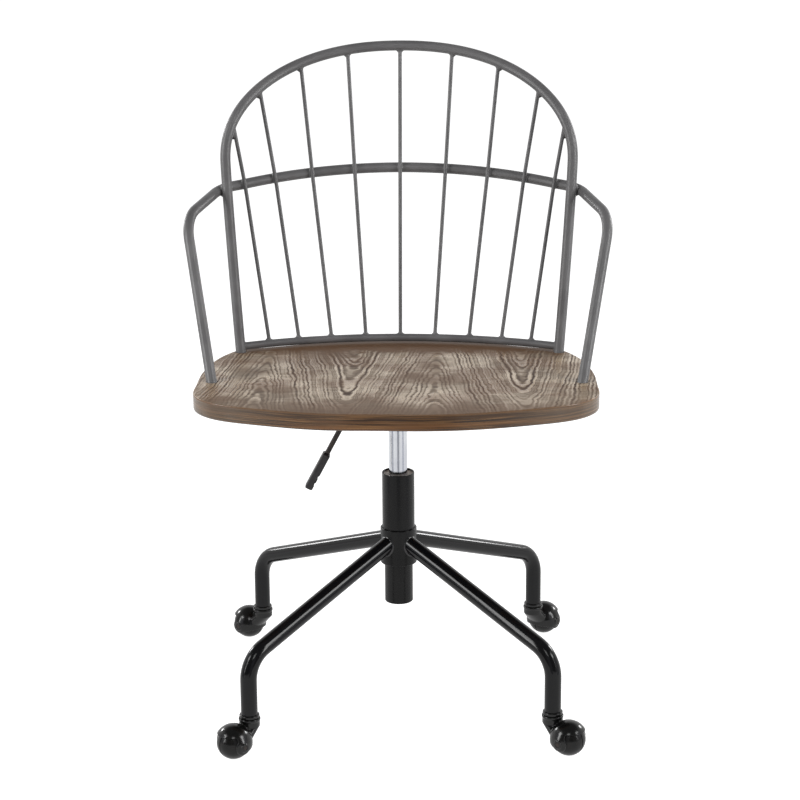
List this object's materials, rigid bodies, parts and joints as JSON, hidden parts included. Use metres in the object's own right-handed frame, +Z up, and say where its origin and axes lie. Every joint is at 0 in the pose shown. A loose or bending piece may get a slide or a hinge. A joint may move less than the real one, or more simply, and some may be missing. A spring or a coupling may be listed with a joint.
{
  "type": "office chair",
  "caption": "Swivel desk chair with a wooden seat board, a curved steel-tube spindle back with arms, a gas lift and a bent-tube base on hooded ball casters.",
  "frame": {"origin": "on the floor under the gas column's axis", "axes": "+Z up, +X to the right of someone who faces the chair, the chair faces -Y"},
  "size_m": [0.6518, 0.5759, 0.986],
  "materials": {
    "seat_wood": "brushed grain, satin lacquer",
    "frame_grey": "gunmetal powder coat, satin",
    "base_black": "black powder coat, semi-gloss",
    "cylinder_chrome": "polished plating",
    "caster_black": "gloss",
    "plastic_black": "moulded, matt",
    "bush_grey": "moulded, matt",
    "steel": "zinc plated",
    "piston_metal": "turned",
    "bump_rubber": "moulded"
  },
  "bodies": {
    "base": {"hub_sleeve": "base_black", "column_tube": "base_black", "guide_bush": "bush_grey", "lower_race": "steel", "bearing_balls": "steel", "leg_front_left": "base_black", "leg_front_right": "base_black", "leg_rear_left": "base_black", "leg_rear_right": "base_black", "caster_socket_front_left": "plastic_black", "caster_socket_front_right": "plastic_black", "caster_socket_rear_left": "plastic_black", "caster_socket_rear_right": "plastic_black"},
    "lift_rod": {"piston_rod": "steel", "piston": "piston_metal", "upper_race": "steel", "bump_stop": "bump_rubber", "retaining_clip": "steel"},
    "seat": {"seat_board": "seat_wood", "back_hoop": "frame_grey", "arm_rail": "frame_grey", "lower_rail": "frame_grey", "spindle_1": "frame_grey", "spindle_2": "frame_grey", "spindle_3": "frame_grey", "spindle_4": "frame_grey", "spindle_5": "frame_grey", "spindle_6": "frame_grey", "spindle_7": "frame_grey", "spindle_8": "frame_grey", "spindle_9": "frame_grey", "tube_plugs": "steel", "frame_bolts": "steel", "frame_washers": "steel", "seat_plate": "base_black", "mechanism_channel": "base_black", "taper_socket": "base_black", "plate_bolts": "steel", "seat_inserts": "steel", "gas_cylinder": "cylinder_chrome", "rod_guide": "plastic_black"},
    "lever": {"lever_rod": "base_black", "lever_handle": "plastic_black"},
    "valve_pin": {"release_pin": "steel"},
    "caster_front_left": {"caster_stem_front_left": "steel", "caster_hood_front_left": "caster_black", "caster_axle_front_left": "steel"},
    "ball_front_left": {"caster_ball_front_left": "caster_black"},
    "caster_front_right": {"caster_stem_front_right": "steel", "caster_hood_front_right": "caster_black", "caster_axle_front_right": "steel"},
    "ball_front_right": {"caster_ball_front_right": "caster_black"},
    "caster_rear_left": {"caster_stem_rear_left": "steel", "caster_hood_rear_left": "caster_black", "caster_axle_rear_left": "steel"},
    "ball_rear_left": {"caster_ball_rear_left": "caster_black"},
    "caster_rear_right": {"caster_stem_rear_right": "steel", "caster_hood_rear_right": "caster_black", "caster_axle_rear_right": "steel"},
    "ball_rear_right": {"caster_ball_rear_right": "caster_black"}
  },
  "joints": [
    {"name": "seat_swivel", "type": "hinge", "parent": "base", "child": "lift_rod", "pos_m": [0, 0, 0.165], "axis": [0, 0, 1], "continuous": true},
    {"name": "seat_height", "type": "slide", "parent": "lift_rod", "child": "seat", "axis": [0, 0, 1], "range_m": [-0.06, 0.03]},
    {"name": "lever_lift", "type": "hinge", "parent": "seat", "child": "lever", "pos_m": [-0.04375, 0, 0.478], "axis": [0, 1, 0], "range_deg": [0, 5], "stiffness_Nm_per_rad": 0.6, "springref_deg": -14.32},
    {"name": "pin_press", "type": "slide", "parent": "seat", "child": "valve_pin", "axis": [0, 0, 1], "range_m": [-0.004, 0]},
    {"name": "caster_swivel_front_left", "type": "hinge", "parent": "base", "child": "caster_front_left", "pos_m": [-0.21653, -0.2322, 0.06], "axis": [0, 0, 1], "continuous": true},
    {"name": "ball_roll_front_left", "type": "hinge", "parent": "caster_front_left", "child": "ball_front_left", "pos_m": [-0.23917, -0.25188, 0.025], "axis": [0.6561, -0.7547, 0], "continuous": true},
    {"name": "caster_swivel_front_right", "type": "hinge", "parent": "base", "child": "caster_front_right", "pos_m": [0.2322, -0.21653, 0.06], "axis": [0, 0, 1], "continuous": true},
    {"name": "ball_roll_front_right", "type": "hinge", "parent": "caster_front_right", "child": "ball_front_right", "pos_m": [0.25584, -0.235, 0.025], "axis": [0.6157, 0.788, 0], "continuous": true},
    {"name": "caster_swivel_rear_left", "type": "hinge", "parent": "base", "child": "caster_rear_left", "pos_m": [-0.2322, 0.21653, 0.06], "axis": [0, 0, 1], "continuous": true},
    {"name": "ball_roll_rear_left", "type": "hinge", "parent": "caster_rear_left", "child": "ball_rear_left", "pos_m": [-0.25677, 0.23374, 0.025], "axis": [-0.5736, -0.8192, 0], "continuous": true},
    {"name": "caster_swivel_rear_right", "type": "hinge", "parent": "base", "child": "caster_rear_right", "pos_m": [0.21653, 0.2322, 0.06], "axis": [0, 0, 1], "continuous": true},
    {"name": "ball_roll_rear_right", "type": "hinge", "parent": "caster_rear_right", "child": "ball_rear_right", "pos_m": [0.235, 0.25584, 0.025], "axis": [-0.788, 0.6157, 0], "continuous": true}
  ],
  "couplings": [
    {"joint": "pin_press", "follows": "lever_lift", "m_per_rad": -0.045}
  ]
}
